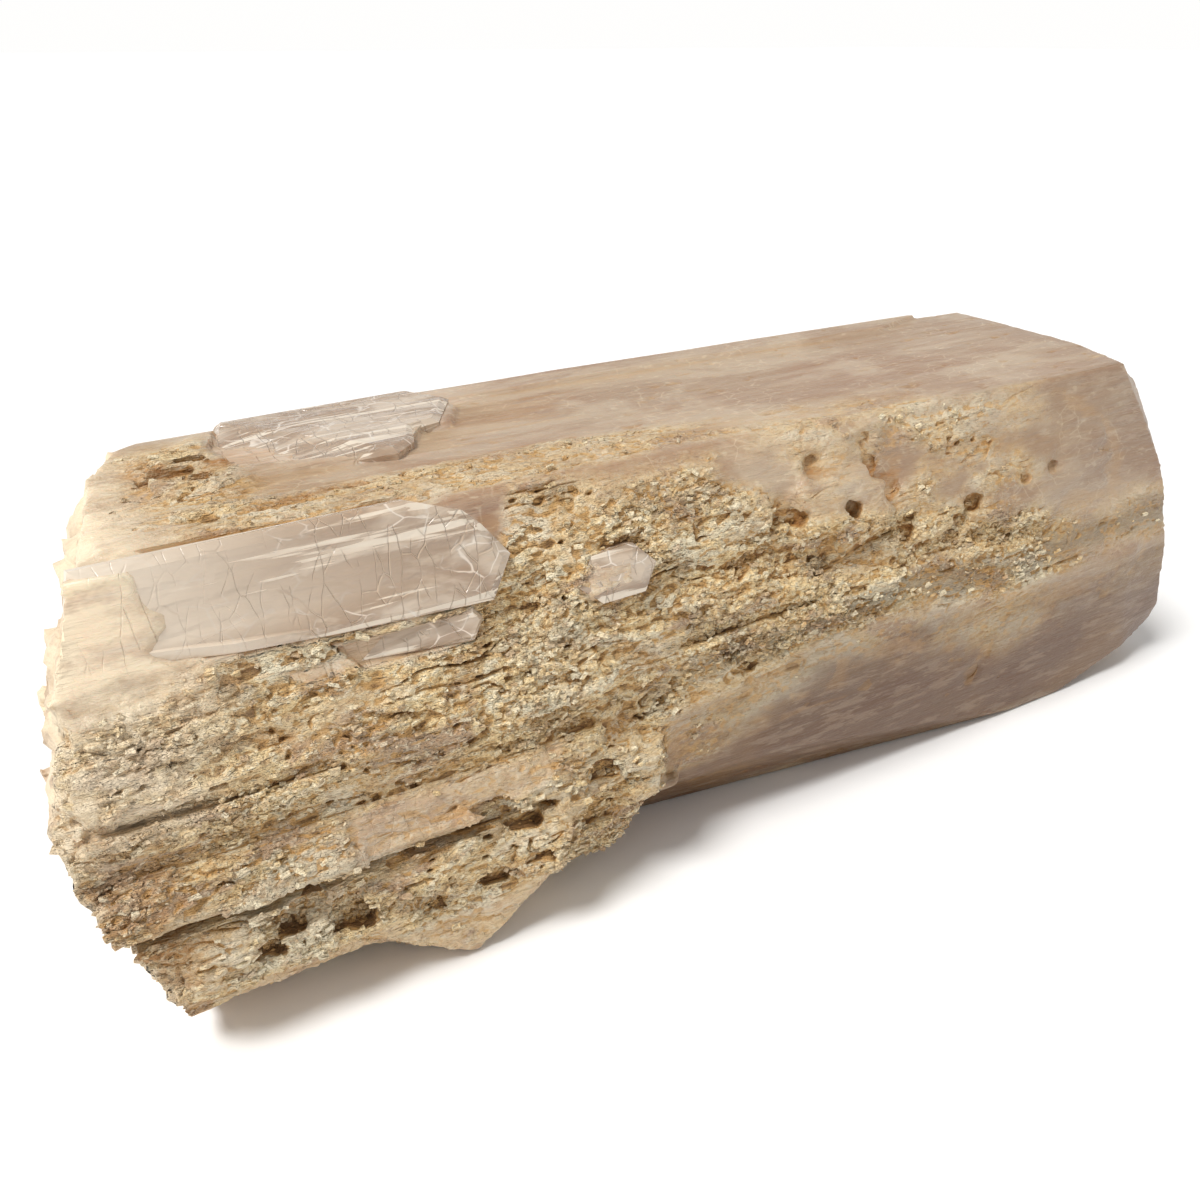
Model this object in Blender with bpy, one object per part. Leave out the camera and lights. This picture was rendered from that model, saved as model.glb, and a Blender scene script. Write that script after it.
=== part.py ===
"""A danburite crystal 127 mm long, modelled in Blender as one solid.

The thick prism is broken off at one end and closed by a low chisel at the other.
Thinner crystals grew along its sides, a bundle of ridges clings to the lower front
of the broken end, and weathering has left pits, grooves and crumbly grains.

Working frame: X along the prism from the broken end to the chisel, Y from the front
to the back, Z up from the face it lies on. X = 0 and Y = 0 are near the front corner
of the broken end, and one parent moves the whole piece so that its box is centred.
"""

import math
import random

import bmesh
import bpy
from mathutils import Matrix, Vector

MM = 0.001
NODE = "danburite_crystal"

# Driving dimensions of the prism, in millimetres
HEIGHT = 38.0           # underside to top face
DEPTH = 37.1            # front edge to back edge, across the widest part
EDGE_RISE = 22.2        # height of the front edge, where the two front faces meet
LEAN = 4.0              # how far the upper front face leans back
UNDERCUT = 0.6          # how far the lower front face leans back
TOP_END = 106.5         # front corner of the top face at the chisel end
CHISEL_END = 120.0      # tip of the chisel
CENTRE = (55.67, 17.12)  # middle of the finished box, X and Y

# The break as planes, each a point on it and the way out: it rounds off the broken end
BREAK = (
    ((-7.8, 0, 21), (-0.99, -0.05, 0.04)),
    ((-2.6, 5.4, 38), (-0.94, 0.237, 0.241)),
    ((2.6, 26, 38), (-0.87, 0.45, 0.20)),
    ((5.6, 31.8, 38), (-0.49, 0.86, 0.14)),
    ((-3.2, 0, 9.4), (-0.92, 0.10, -0.37)),
    ((-6.4, 1.0, 30), (-0.72, -0.69, 0.10)),
)

SUNK = 3.0              # how deep a side crystal is rooted in its face
SPARE = 0.5             # how far a side crystal usually sticks out of the break
GROUND_SLAB = 6.0       # thickness of the block that levels the underside
SEED = 41


class Face:
    """A side face of the prism: a point on it, the way up it and the way out."""

    def __init__(self, base, up, out):
        self.base = Vector(base)
        self.up = Vector(up).normalized()
        self.out = Vector(out).normalized()

    def point(self, along, up, out=0.0):
        return self.base + Vector((along, 0.0, 0.0)) + self.up * up + self.out * out

    def matrix(self):
        axes = Matrix((Vector((1.0, 0.0, 0.0)), self.up, self.out)).transposed()
        return Matrix.Translation(self.base) @ axes.to_4x4()


UPPER = HEIGHT - EDGE_RISE
FRONT = Face((0, 0, EDGE_RISE), (0, LEAN, UPPER), (0, -UPPER, LEAN))
LOWER = Face((0, UNDERCUT, 0), (0, -UNDERCUT, EDGE_RISE), (0, -EDGE_RISE, -UNDERCUT))
TOP = Face((0, LEAN, HEIGHT), (0, 1, 0), (0, 0, 1))
BACK_LOWER = Face((0, DEPTH - LEAN, 0), (0, LEAN, UPPER), (0, UPPER, -LEAN))
BACK = Face((0, DEPTH, UPPER), (0, -UNDERCUT, EDGE_RISE), (0, EDGE_RISE, UNDERCUT))


def clear_scene():
    """Remove everything that the file holds."""
    for item in list(bpy.data.objects):
        bpy.data.objects.remove(item, do_unlink=True)


def collection(name):
    group = bpy.data.collections.new(name)
    bpy.context.scene.collection.children.link(group)
    return group


def block(low, high):
    """A box between two corners."""
    mesh = bmesh.new()
    bmesh.ops.create_cube(mesh, size=1.0)
    low, high = Vector(low), Vector(high)
    bmesh.ops.scale(mesh, vec=high - low, verts=mesh.verts)
    bmesh.ops.translate(mesh, vec=(high + low) / 2, verts=mesh.verts)
    return mesh


def cut(mesh, point, normal):
    """Take away what lies beyond a plane, and close the cut."""
    geometry = mesh.verts[:] + mesh.edges[:] + mesh.faces[:]
    bmesh.ops.bisect_plane(mesh, geom=geometry, dist=1e-5, plane_co=Vector(point),
                           plane_no=Vector(normal).normalized(), clear_outer=True)
    rim = [edge for edge in mesh.edges if edge.is_boundary]
    if rim:
        bmesh.ops.holes_fill(mesh, edges=rim, sides=0)


def finish(mesh, name, group, parent):
    """Turn a mesh in millimetres into an object in metres."""
    bmesh.ops.scale(mesh, vec=(MM, MM, MM), verts=mesh.verts)
    bmesh.ops.recalc_face_normals(mesh, faces=mesh.faces)
    data = bpy.data.meshes.new(name)
    mesh.to_mesh(data)
    mesh.free()
    item = bpy.data.objects.new(name, data)
    item.parent = parent
    group.objects.link(item)
    return item


def helper(mesh, name, group, parent):
    """A piece that is only joined to the crystal or cut from it."""
    item = finish(mesh, name, group, parent)
    item.hide_render = True
    item.display_type = "WIRE"
    return item


def prism_mesh():
    """The thick prism: a box cut by its side faces, its chisel and its break."""
    mesh = block((-12, -6, -2), (CHISEL_END + 4, DEPTH + 6, HEIGHT))
    for face in (FRONT, LOWER, BACK_LOWER, BACK):
        cut(mesh, face.base, face.out)
    cut(mesh, (0, DEPTH - 0.6, 33.0), (0, 1.0, 0.72))
    cut(mesh, (50, 7.0, 0), (-0.116, -0.78, -0.62))
    cut(mesh, (0, 31.0, 0), (0, 0.55, -0.83))

    # The chisel end, from the sloping strip at the top to the chamfer underneath
    cut(mesh, (TOP_END, LEAN, HEIGHT), (0.291, -0.105, 0.951))
    cut(mesh, (TOP_END - 0.4, -0.2, 24), (0.174, -0.985, 0.01))
    cut(mesh, (TOP_END + 0.6, 2.5, 36.3), (0.853, -0.37, 0.522))
    cut(mesh, (112.8, 1.7, 26), (0.947, -0.1, 0.319))
    cut(mesh, (116.4, 1.7, 15.6), (0.98, -0.08, 0.187))
    cut(mesh, (CHISEL_END - 1.0, 20, 10), (0.90, 0.12, -0.42))
    cut(mesh, (100, 0, 0), (0.262, -0.25, -0.93))
    cut(mesh, (112, DEPTH, 20), (0.62, 0.78, 0.05))
    snap(mesh, 0.0)
    return mesh


def snap(mesh, spare):
    """Break off what sticks out of the broken end by more than a spare length."""
    for point, way in BREAK:
        cut(mesh, Vector(point) + Vector(way) * spare, way)


def side_crystal(face, tail, tip, low, high, proud, point=0.5, blunt=50, slope=35, chamfer=0.35,
                 break_lean=0.0, twist=0.0, sunk=SUNK, spare=SPARE):
    """A crystal grown along a face, broken at its tail and pointed at its tip.

    low and high are its edges up the face, and proud is how far it stands out.
    point says where between its edges the tip is, and blunt how steep the tip's sides are.
    """
    mesh = block((tail, low, -sunk), (tip, high, proud))
    middle = low + (high - low) * point
    for side in (1, -1):
        angle = math.radians(90 - blunt) * side
        cut(mesh, (tip, middle, 0), (math.cos(angle), math.sin(angle), 0.0))
        edge = high if side > 0 else low
        cut(mesh, (tip, edge - side * chamfer * proud, proud), (0.0, side, 0.8))
    steep = math.radians(slope)
    cut(mesh, (tip, middle, 0.15 * proud), (math.sin(steep), 0.0, math.cos(steep)))
    cut(mesh, (tail + 0.3, middle, 0), (-1.0, break_lean, 0.35))
    bmesh.ops.rotate(mesh, cent=(tail, middle, 0), verts=mesh.verts,
                     matrix=Matrix.Rotation(math.radians(twist), 3, "Z"))
    bmesh.ops.transform(mesh, matrix=face.matrix(), verts=mesh.verts)
    snap(mesh, spare * (1.0 + 0.6 * math.sin(7.0 * low + proud)))
    return mesh


def groove(face, start, end, up, width, depth, twist=0.0):
    """A long V cut along a face, sharp at both ends."""
    mesh = block((start, up - width / 2, -depth), (end, up + width / 2, 4.0))
    for side in (1, -1):
        cut(mesh, (start, up + side * width / 2, 0), (0.0, side * depth, -width / 2.2))
        stop = end if side > 0 else start
        cut(mesh, (stop, up, 0.2), (side * depth, 0.0, -width))
    bmesh.ops.rotate(mesh, cent=((start + end) / 2, up, 0), verts=mesh.verts,
                     matrix=Matrix.Rotation(math.radians(twist), 3, "Z"))
    bmesh.ops.transform(mesh, matrix=face.matrix(), verts=mesh.verts)
    return mesh


def grain(centre, size, chance, planes=7):
    """A broken grain: a box with its corners knocked off by chance planes."""
    half = Vector(size) / 2
    mesh = block(-half, half)
    for _ in range(planes):
        way = Vector([chance.uniform(-1, 1) for _ in range(3)]).normalized()
        reach = Vector([way[i] * half[i] for i in range(3)]).length
        cut(mesh, way * reach * chance.uniform(0.82, 1.0), way)
    spin = Matrix.Rotation(chance.uniform(-0.25, 0.25), 3, "Y")
    bmesh.ops.rotate(mesh, cent=(0, 0, 0), matrix=spin, verts=mesh.verts)
    bmesh.ops.translate(mesh, vec=centre, verts=mesh.verts)
    return mesh


def blades():
    """The crystals that can be told apart on the front and on the top face."""
    pieces = {}
    # Clear blade with the pointed tip, along the edge between front and top
    blade = side_crystal(FRONT, -7.4, 28.3, 8.3, 16.75, 1.3, point=0.42, blunt=51, slope=48,
                         break_lean=0.3)
    cut(blade, FRONT.point(20.4, 16.75), Vector((0.394, 0, 0)) + FRONT.up * 0.919)
    pieces["clear_blade"] = blade
    pieces["second_blade"] = side_crystal(FRONT, -6.5, 25.4, 5.4, 9.0, 1.0, point=0.7, blunt=62,
                                          slope=55, break_lean=-0.2, twist=0.15)
    pieces["third_blade"] = side_crystal(FRONT, -5.2, 19.7, 3.9, 7.0, 0.9, point=0.7, blunt=40,
                                         slope=50, twist=-0.2)
    # Two lobes lying side by side on the top face
    pieces["top_blade"] = side_crystal(TOP, 6.0, 31.4, 13.2, 22.6, 0.8, point=0.62, blunt=50,
                                       slope=62, break_lean=0.5)
    pieces["top_lobe"] = side_crystal(TOP, 9.5, 36.6, 18.4, 27.4, 0.55, point=0.55, blunt=58,
                                      slope=62, break_lean=0.5)
    pieces["top_strip"] = side_crystal(TOP, -1.0, 50.0, 2.6, 8.6, 0.5, point=0.3, blunt=24, slope=70)
    pieces["edge_strip"] = side_crystal(TOP, 24.0, 66.0, 0.4, 3.6, 0.45, point=0.2, blunt=20,
                                        slope=70, twist=-0.3)
    pieces["back_ledge"] = side_crystal(TOP, 20.5, 104.0, 25.6, 29.4, 0.45, point=0.9, blunt=20,
                                        slope=60)
    # Crystals on the weathered band of the front face
    pieces["knob"] = side_crystal(FRONT, 33.8, 41.8, 5.7, 10.3, 2.0, point=0.6, blunt=38, slope=30,
                                  chamfer=0.6)
    pieces["knob_foot"] = side_crystal(FRONT, 30.6, 39.2, 4.2, 8.0, 1.0, point=0.7, blunt=40,
                                       slope=30, twist=4)
    pieces["small_blade"] = side_crystal(FRONT, 41.0, 55.8, 8.0, 12.0, 1.2, point=0.4, blunt=50,
                                         slope=45)
    pieces["ledge_blade"] = side_crystal(FRONT, 36.0, 60.0, 11.2, 15.6, 0.9, point=0.4, blunt=25,
                                         slope=60, twist=-0.5)
    pieces["holed_chunk"] = side_crystal(FRONT, 57.0, 70.6, 6.4, 12.6, 1.7, point=0.25, blunt=48,
                                         slope=40, twist=-1.5)
    pieces["chunk_foot"] = side_crystal(FRONT, 60.5, 70.2, 4.6, 8.4, 1.2, point=0.6, blunt=50,
                                        slope=40, twist=5)
    pieces["far_swell"] = side_crystal(FRONT, 68.0, 104.0, 3.4, 9.8, 0.8, point=0.6, blunt=16,
                                       slope=70, twist=-0.6)
    pieces["far_blade"] = side_crystal(FRONT, 72.0, 99.0, 8.6, 14.2, 0.5, point=0.5, blunt=25,
                                       slope=70)
    pieces["band_bar"] = side_crystal(FRONT, -7.0, 58.0, 0.6, 4.2, 0.8, point=0.5, blunt=18,
                                      slope=60, break_lean=0.4, twist=0.25)
    pieces["band_ridge"] = side_crystal(FRONT, -6.6, 38.0, -2.2, 1.6, 0.9, point=0.4, blunt=30,
                                        slope=50, twist=0.2)
    pieces["far_ledge"] = side_crystal(LOWER, 66.0, 105.0, 16.4, 21.0, 0.5, point=0.5, blunt=14,
                                       slope=70)
    return pieces


def ridges():
    """The bundle of ridges on the lower front of the broken end."""
    pieces = {}
    rows = (
        # name, tail, tip, low, high, proud, point, blunt, twist
        ("plate_ridge", -6.4, 36.5, 13.2, 17.6, 1.9, 0.6, 52, 0.0),
        ("long_ridge", -6.6, 33.0, 10.2, 15.2, 2.9, 0.4, 38, 0.6),
        ("mass_core", -3.4, 40.0, 6.6, 15.6, 2.3, 0.8, 58, 0.0),
        ("mass_foot", -2.6, 33.0, 6.0, 12.0, 3.3, 0.5, 46, -0.5),
        ("fin", -2.4, 17.0, 5.2, 9.0, 3.2, 0.3, 30, 0.0),
        ("step_block", 27.0, 42.6, 8.2, 15.2, 2.6, 0.6, 62, 0.0),
        ("step_foot", 28.5, 37.5, 6.4, 11.0, 2.2, 0.4, 45, 1.5),
    )
    for name, tail, tip, low, high, proud, point, blunt, twist in rows:
        pieces[name] = side_crystal(LOWER, tail, tip, low, high, proud, point=point, blunt=blunt,
                                    slope=48, chamfer=0.45, break_lean=0.3, twist=twist)
    # The thick root of the bundle, and the lobe that reaches down to the ground
    root = side_crystal(LOWER, -6.0, 43.0, -1.0, 15.0, 0.5, point=0.8, blunt=60, slope=60, sunk=14)
    cut(root, (0, 4.2, 0), (0, -0.75, -0.66))
    pieces["root"] = root
    pieces["tooth"] = side_crystal(LOWER, -7.6, 2.0, 12.9, 15.8, 3.0, point=0.5, blunt=60, spare=1.2)
    lobe = side_crystal(LOWER, 12.5, 33.0, -1.5, 8.4, 3.0, point=0.95, blunt=35, slope=40, sunk=8)
    cut(lobe, (21.3, -1.8, 0), (-0.467, -0.493, -0.734))
    cut(lobe, (23.2, -1.9, 0), (0.319, -0.728, -0.606))
    pieces["lobe"] = lobe
    return pieces


def far_side(chance):
    """Crystals on the back and on the underside, where the photograph does not reach."""
    pieces = {}
    rows = (
        # name, face, tail, tip, low, high, proud, point, blunt
        ("back_blade", BACK, 2.0, 62.0, 12.0, 18.6, 1.2, 0.4, 50),
        ("back_bar", BACK, 0.0, 88.0, 4.2, 9.6, 0.8, 0.6, 40),
        ("back_lath", BACK, 40.0, 101.0, 8.6, 13.4, 0.9, 0.5, 48),
        ("back_foot", BACK_LOWER, -1.0, 54.0, 6.4, 12.6, 1.3, 0.5, 44),
        ("back_sliver", BACK_LOWER, 30.0, 80.0, 3.2, 8.0, 0.8, 0.4, 35),
        ("back_tail", BACK_LOWER, 58.0, 104.0, 10.4, 15.2, 0.7, 0.5, 40),
    )
    for name, face, tail, tip, low, high, proud, point, blunt in rows:
        pieces[name] = side_crystal(face, tail, tip, low, high, proud, point=point, blunt=blunt,
                                    slope=45, twist=chance.uniform(-0.5, 0.5))
    return pieces


def laths(prefix, face, count, along, up, chance, length=(5, 13), width=(1.0, 2.4), proud=(0.3, 0.9)):
    """Short side crystals scattered over a weathered band."""
    pieces = {}
    for number in range(count):
        tail = chance.uniform(*along)
        low = chance.uniform(*up)
        pieces[f"{prefix}_{number:02d}"] = side_crystal(
            face, tail, tail + chance.uniform(*length), low, low + chance.uniform(*width),
            chance.uniform(*proud), point=chance.uniform(0.2, 0.8), blunt=chance.uniform(35, 65),
            slope=chance.uniform(35, 60), chamfer=0.5, break_lean=chance.uniform(-0.5, 0.5),
            twist=chance.uniform(-3, 3), sunk=2.0)
    return pieces


def grains(prefix, face, count, along, up, out, size, chance):
    """Grains scattered over a face, each half sunk in it."""
    pieces = {}
    for number in range(count):
        spot = face.point(chance.uniform(*along), chance.uniform(*up), chance.uniform(*out))
        base = chance.uniform(*size)
        shape = (base * chance.uniform(1.1, 2.0), base, base * chance.uniform(0.8, 1.2))
        pieces[f"{prefix}_{number:02d}"] = grain(spot, shape, chance)
    return pieces


def break_place(across, height):
    """Where the break lies along X, at a place across the section and up it."""
    places = []
    for point, way in BREAK:
        if way[0] < -0.6:
            rise = way[1] * (across - point[1]) + way[2] * (height - point[2])
            places.append(point[0] - rise / way[0])
    return max(places)


def break_steps(chance):
    """Steps of the broken end: the stubs of crystals that snapped at other lengths."""
    pieces = {}
    for number in range(24):
        across, height = chance.uniform(4, 31), chance.uniform(6, 34)
        size = (chance.uniform(7, 10), chance.uniform(3, 9), chance.uniform(2.5, 7))
        start = break_place(across, height) - chance.uniform(0.2, 1.3)
        spot = (start + size[0] / 2, across, height)
        pieces[f"stub_{number:02d}"] = grain(spot, size, chance, planes=5)
    return pieces


def pits(chance):
    """Holes weathered out of the front, each as place along, place up the face and width."""
    pieces = {}
    front_holes = (
        (55.9, 9.0, 1.7), (57.8, 8.6, 1.5), (58.7, 9.8, 1.2), (60.4, 12.9, 1.6), (67.7, 11.6, 1.8),
        (69.8, 9.2, 2.2), (64.2, 8.4, 1.7), (67.1, 14.3, 1.5), (81.2, 5.6, 2.0), (79.3, 4.0, 1.8),
        (89.8, 2.8, 1.2), (93.6, 7.1, 1.3), (89.2, 6.7, 1.2), (78.0, 2.4, 2.4), (81.8, 1.8, 2.2),
        (85.8, 1.0, 1.9), (29.9, 8.8, 1.4), (43.6, 7.6, 1.5), (71.6, 4.4, 1.8), (61.0, 4.6, 2.4),
    )
    for number, (along, up, width) in enumerate(front_holes):
        spot = FRONT.point(along, up, 0.6)
        pieces[f"front_pit_{number:02d}"] = grain(spot, (width * 1.3, width * 2.2, width), chance)
    lower_holes = ((79.5, 12.5, 1.4), (85.8, 9.6, 1.5), (84.0, 7.4, 1.8), (64.1, 12.6, 1.3),
                   (51.5, 18.3, 2.0), (57.2, 16.6, 1.8), (104.0, 19.0, 1.2))
    for number, (along, up, width) in enumerate(lower_holes):
        spot = LOWER.point(along, up, 0.2)
        pieces[f"lower_pit_{number:02d}"] = grain(spot, (width * 2.0, width * 1.6, width), chance)
    top_holes = ((7.6, 17.4, 2.6), (9.6, 15.2, 1.8), (10.2, 20.0, 1.9), (7.4, 6.4, 1.8), (20.0, 7.6, 1.3))
    for number, (along, up, width) in enumerate(top_holes):
        spot = TOP.point(along, up, 0.1)
        pieces[f"top_pit_{number:02d}"] = grain(spot, (width * 1.8, width, width * 1.2), chance)
    # Caves in the crumbly ridges
    for number in range(16):
        spot = LOWER.point(chance.uniform(2, 36), chance.uniform(7, 13.5), chance.uniform(2.4, 3.6))
        width = chance.uniform(1.2, 2.6)
        pieces[f"cave_{number:02d}"] = grain(spot, (width * 2.2, width * 2, width), chance)
    return pieces


def grooves():
    """Long cracks and gaps between neighbouring crystals."""
    return {
        "long_groove": groove(LOWER, -9.0, 35.0, 18.0, 1.5, 2.4, 0.4),
        "upper_groove": groove(FRONT, -9.0, 12.0, -0.7, 0.9, 1.2, 0.3),
        "middle_groove": groove(FRONT, 43.0, 60.0, 0.5, 1.2, 1.8, 2.2),
        "rising_groove": groove(FRONT, 59.0, 73.0, 4.6, 1.2, 1.9, 13.0),
        "far_groove": groove(FRONT, 72.0, 96.0, 1.4, 1.3, 2.0, -4.0),
        "last_groove": groove(FRONT, 92.0, 112.0, 0.3, 0.8, 1.3, 1.0),
        "ridge_groove": groove(LOWER, -6.0, 30.0, 12.6, 0.9, 1.2, -0.6),
        "back_groove": groove(BACK, 0.0, 76.0, 10.6, 1.2, 1.8, 0.3),
        "foot_groove": groove(BACK_LOWER, 8.0, 98.0, 9.2, 1.0, 1.5, -0.4),
        "top_groove": groove(TOP, 18.0, 42.0, 9.4, 0.8, 0.9, -0.8),
    }


def ground_block():
    """The block that levels the underside."""
    return block((-30, -30, -GROUND_SLAB), (CHISEL_END + 30, DEPTH + 30, 0))


def join(target, name, group, operation):
    """Join or cut a collection of pieces with a Boolean."""
    modifier = target.modifiers.new(name, "BOOLEAN")
    modifier.operand_type = "COLLECTION"
    modifier.collection = group
    modifier.operation = operation
    modifier.solver = "EXACT"
    return modifier


def islands(mesh):
    """The separate shells of a mesh, as lists of faces."""
    waiting = set(mesh.faces)
    while waiting:
        shell = [waiting.pop()]
        for face in shell:
            for edge in face.edges:
                for beside in edge.link_faces:
                    if beside in waiting:
                        waiting.remove(beside)
                        shell.append(beside)
        yield shell


def settle(crystal, groups):
    """Keep the joined shape as the crystal's own mesh, without the scraps that fell off."""
    graph = bpy.context.evaluated_depsgraph_get()
    data = bpy.data.meshes.new_from_object(crystal.evaluated_get(graph))
    mesh = bmesh.new()
    mesh.from_mesh(data)
    shells = sorted(islands(mesh), key=len)
    scraps = [face for shell in shells[:-1] for face in shell]
    bmesh.ops.delete(mesh, geom=scraps, context="FACES")
    mesh.to_mesh(data)
    mesh.free()
    crystal.modifiers.clear()
    crystal.data = data
    data.name = NODE
    for group in groups:
        for item in list(group.objects):
            bpy.data.objects.remove(item, do_unlink=True)


def danburite_material():
    """Pale pinkish danburite, milky and a little see-through."""
    material = bpy.data.materials.new("danburite")
    material.use_nodes = True
    shader = material.node_tree.nodes["Principled BSDF"]
    shader.inputs["Base Color"].default_value = (0.62, 0.47, 0.36, 1.0)
    shader.inputs["Roughness"].default_value = 0.45
    shader.inputs["Metallic"].default_value = 0.0
    shader.inputs["IOR"].default_value = 1.63
    return material


def main():
    clear_scene()
    part_group = collection("danburite")
    growth_group = collection("growths")
    pit_group = collection("cutters")
    parent = bpy.data.objects.new("danburite_place", None)
    parent.location = (-CENTRE[0] * MM, -CENTRE[1] * MM, 0.0)
    part_group.objects.link(parent)

    chance = random.Random(SEED)
    growths = {**blades(), **ridges(), **far_side(chance), **break_steps(chance)}
    growths.update(laths("band_lath", FRONT, 34, (-6, 62), (-2.5, 5.5), chance))
    growths.update(laths("high_lath", FRONT, 12, (28, 62), (8.5, 14.0), chance, proud=(0.4, 1.0)))
    growths.update(laths("far_lath", FRONT, 12, (60, 98), (0.5, 12.0), chance, proud=(0.3, 0.8)))
    growths.update(laths("low_lath", LOWER, 10, (40, 100), (13.0, 20.5), chance, proud=(0.3, 0.7)))
    growths.update(laths("ridge_lath", LOWER, 22, (-3, 32), (6.5, 14.5), chance, proud=(2.0, 3.7)))
    growths.update(laths("back_lath", BACK, 14, (2, 98), (2.0, 18.0), chance, proud=(0.4, 1.1)))
    growths.update(laths("foot_lath", BACK_LOWER, 12, (2, 98), (3.0, 14.0), chance, proud=(0.4, 1.1)))
    growths.update(grains("band_grain", FRONT, 16, (-4, 66), (-1, 12), (-0.1, 0.4), (1.4, 2.4), chance))
    growths.update(grains("ridge_grain", LOWER, 12, (0, 38), (7, 15), (1.8, 3.0), (1.6, 2.8), chance))
    for name, mesh in growths.items():
        helper(mesh, name, growth_group, parent)

    holes = {**pits(chance), **grooves(), "ground": ground_block()}
    for name, mesh in holes.items():
        helper(mesh, name, pit_group, parent)

    crystal = finish(prism_mesh(), NODE, part_group, parent)
    crystal.data.materials.append(danburite_material())
    join(crystal, "side crystals", growth_group, "UNION")
    join(crystal, "pits and grooves", pit_group, "DIFFERENCE")
    settle(crystal, (growth_group, pit_group))


main()
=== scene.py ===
# %% [markdown]
# # A rough danburite crystal
# This lesson dresses one natural crystal. The solid that carries it is already made, in metres, lying on
# its side. Here it gets the fine shape that a step closer shows, such as fibres, pits, crumbs and cracks,
# and a finish that goes from milky pink crystal to cream and rusty crust.

# %% Load the solid and keep its box
import math

import bpy
import numpy as np
from mathutils import Matrix, Vector


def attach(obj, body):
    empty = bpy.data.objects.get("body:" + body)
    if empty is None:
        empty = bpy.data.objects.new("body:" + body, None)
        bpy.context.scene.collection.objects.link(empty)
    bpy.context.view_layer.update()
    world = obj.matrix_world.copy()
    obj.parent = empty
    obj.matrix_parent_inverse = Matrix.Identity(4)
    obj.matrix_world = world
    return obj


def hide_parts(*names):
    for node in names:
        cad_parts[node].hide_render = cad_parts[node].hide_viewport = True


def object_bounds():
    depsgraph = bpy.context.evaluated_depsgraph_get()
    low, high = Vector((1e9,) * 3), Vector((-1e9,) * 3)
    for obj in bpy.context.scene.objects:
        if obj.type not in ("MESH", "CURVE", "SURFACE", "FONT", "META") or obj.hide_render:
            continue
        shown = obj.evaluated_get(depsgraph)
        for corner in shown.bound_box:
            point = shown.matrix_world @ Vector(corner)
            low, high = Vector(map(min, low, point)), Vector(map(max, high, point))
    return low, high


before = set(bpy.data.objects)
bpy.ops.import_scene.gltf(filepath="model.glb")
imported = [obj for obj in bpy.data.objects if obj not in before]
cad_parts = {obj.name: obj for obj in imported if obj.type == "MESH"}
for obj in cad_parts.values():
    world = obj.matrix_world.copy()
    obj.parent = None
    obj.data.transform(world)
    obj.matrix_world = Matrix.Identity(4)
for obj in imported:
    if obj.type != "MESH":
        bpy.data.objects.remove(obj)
NODE = "danburite_crystal"
MM = 0.001
cad_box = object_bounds()
print("box of the solid in mm:", [[round(v / MM, 1) for v in corner] for corner in cad_box])

# %% [markdown]
# ## Places on the crystal
# All places below are in millimetres in the crystal's own frame: x runs along the prism from the broken end,
# y goes from the front to the back, and z rises from the face it lies on. It is the solid's frame, moved so
# that zero is at the broken end's front corner, which keeps the numbers readable.

# %% The crystal's own frame
ORIGIN = np.array((-55.67, -17.12, 0.0))
HEIGHT = 38.0
EDGE_RISE = 22.2
SEED = 7


def to_crystal(points):
    """Points in metres become millimetres in the crystal's own frame."""
    return points / MM - ORIGIN


def to_row(place):
    """A place in the crystal's own frame becomes a point in metres."""
    return Vector((np.array(place, float) + ORIGIN) * MM)


print("the crystal's zero sits at", [round(v, 4) for v in to_row((0, 0, 0))])

# %% [markdown]
# ## Camera
# The photograph is taken from close by, with a wide lens, so the near end looms and the far end shrinks.
# The camera stands about 10 cm from the broken end, looks 25 degrees down and turns 32 degrees to the right.
# It is placed in code and not by eye, because its place was worked out from the photograph's edges.

# %% Camera
CAMERA_PLACE = (-12.32, -75.2, 70.67)
LOOK = Vector((0.4863, 0.7628, -0.4258)).normalized()
SENSOR = 36.0

camera_data = bpy.data.cameras.new("camera")
camera_data.lens = SENSOR
camera_data.sensor_width = SENSOR
camera_data.clip_start = 0.005
camera = bpy.data.objects.new("camera", camera_data)
bpy.context.scene.collection.objects.link(camera)
camera.location = to_row(CAMERA_PLACE)
camera.rotation_euler = LOOK.to_track_quat("-Z", "Y").to_euler()
bpy.context.scene.camera = camera
print("camera at", [round(v, 4) for v in camera.location])

# %% [markdown]
# ## Floor
# The crystal lies on plain white ground. One very large plane is enough, and it lies just under zero so that
# it doesn't flicker against the flat underside.

# %% Floor
FLOOR_SIZE = 12.0
FLOOR_DROP = 0.0001
FLOOR_WHITE = 0.95

bpy.ops.object.select_all(action="DESELECT")
bpy.ops.mesh.primitive_plane_add(size=FLOOR_SIZE, location=(0, 0, -FLOOR_DROP))
floor = bpy.context.object
floor.name = "floor"
floor_paint = bpy.data.materials.new("white_floor")
floor_paint.use_nodes = True
floor_shader = floor_paint.node_tree.nodes["Principled BSDF"]
floor_shader.inputs["Base Color"].default_value = (FLOOR_WHITE, FLOOR_WHITE, FLOOR_WHITE, 1)
floor_shader.inputs["Roughness"].default_value = 0.9
floor.data.materials.append(floor_paint)
print("floor laid")

# %% [markdown]
# ## Light
# The photograph has pale studio light, with a soft shadow and one bright side. A sky that is white at the
# horizon and dimmer above fills the shadows, and one broad sun lamp from the upper left makes them. A sun is
# used because its light is the same over the whole crystal.

# %% Sky, white at the horizon and dimmer above
SKY = 0.46
HORIZON = 1.0
FADE_FROM = 0.08
FADE_TO = 0.25

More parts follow.
